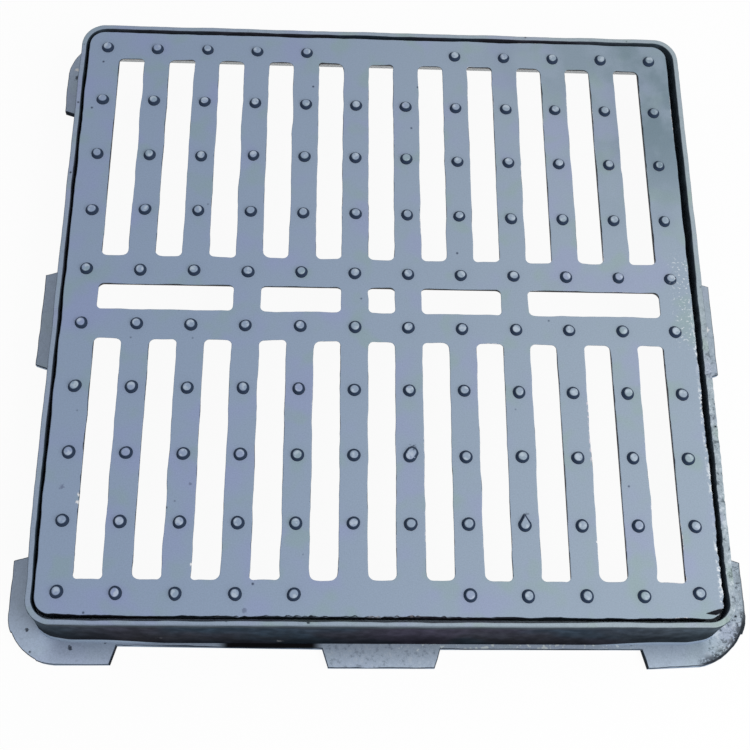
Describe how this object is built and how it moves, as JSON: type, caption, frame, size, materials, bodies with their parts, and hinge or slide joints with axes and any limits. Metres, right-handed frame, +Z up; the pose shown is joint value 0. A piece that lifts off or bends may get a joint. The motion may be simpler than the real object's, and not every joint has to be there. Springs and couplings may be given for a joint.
{
  "type": "gully grate",
  "caption": "Square slotted cast-iron road gully grate with anti-slip studs, lying loose in a flanged seating frame with mortar lugs.",
  "frame": {"origin": "centre of the frame's underside, on the plane that the base flange stands on", "axes": "+Z up out of the road surface; +X along the row of slots, to the right as the picture shows it; +Y along the slots, away from the viewer"},
  "size_m": [0.6626, 0.6554, 0.0685],
  "materials": {
    "grate_iron": "thin dark coating on sand-cast iron, blue-grey on the faces that look up",
    "frame_iron": "thin dark coating on sand-cast iron, nearly black on the upright wall"
  },
  "bodies": {
    "root": {"grate": "grate_iron", "frame": "frame_iron"}
  },
  "joints": []
}
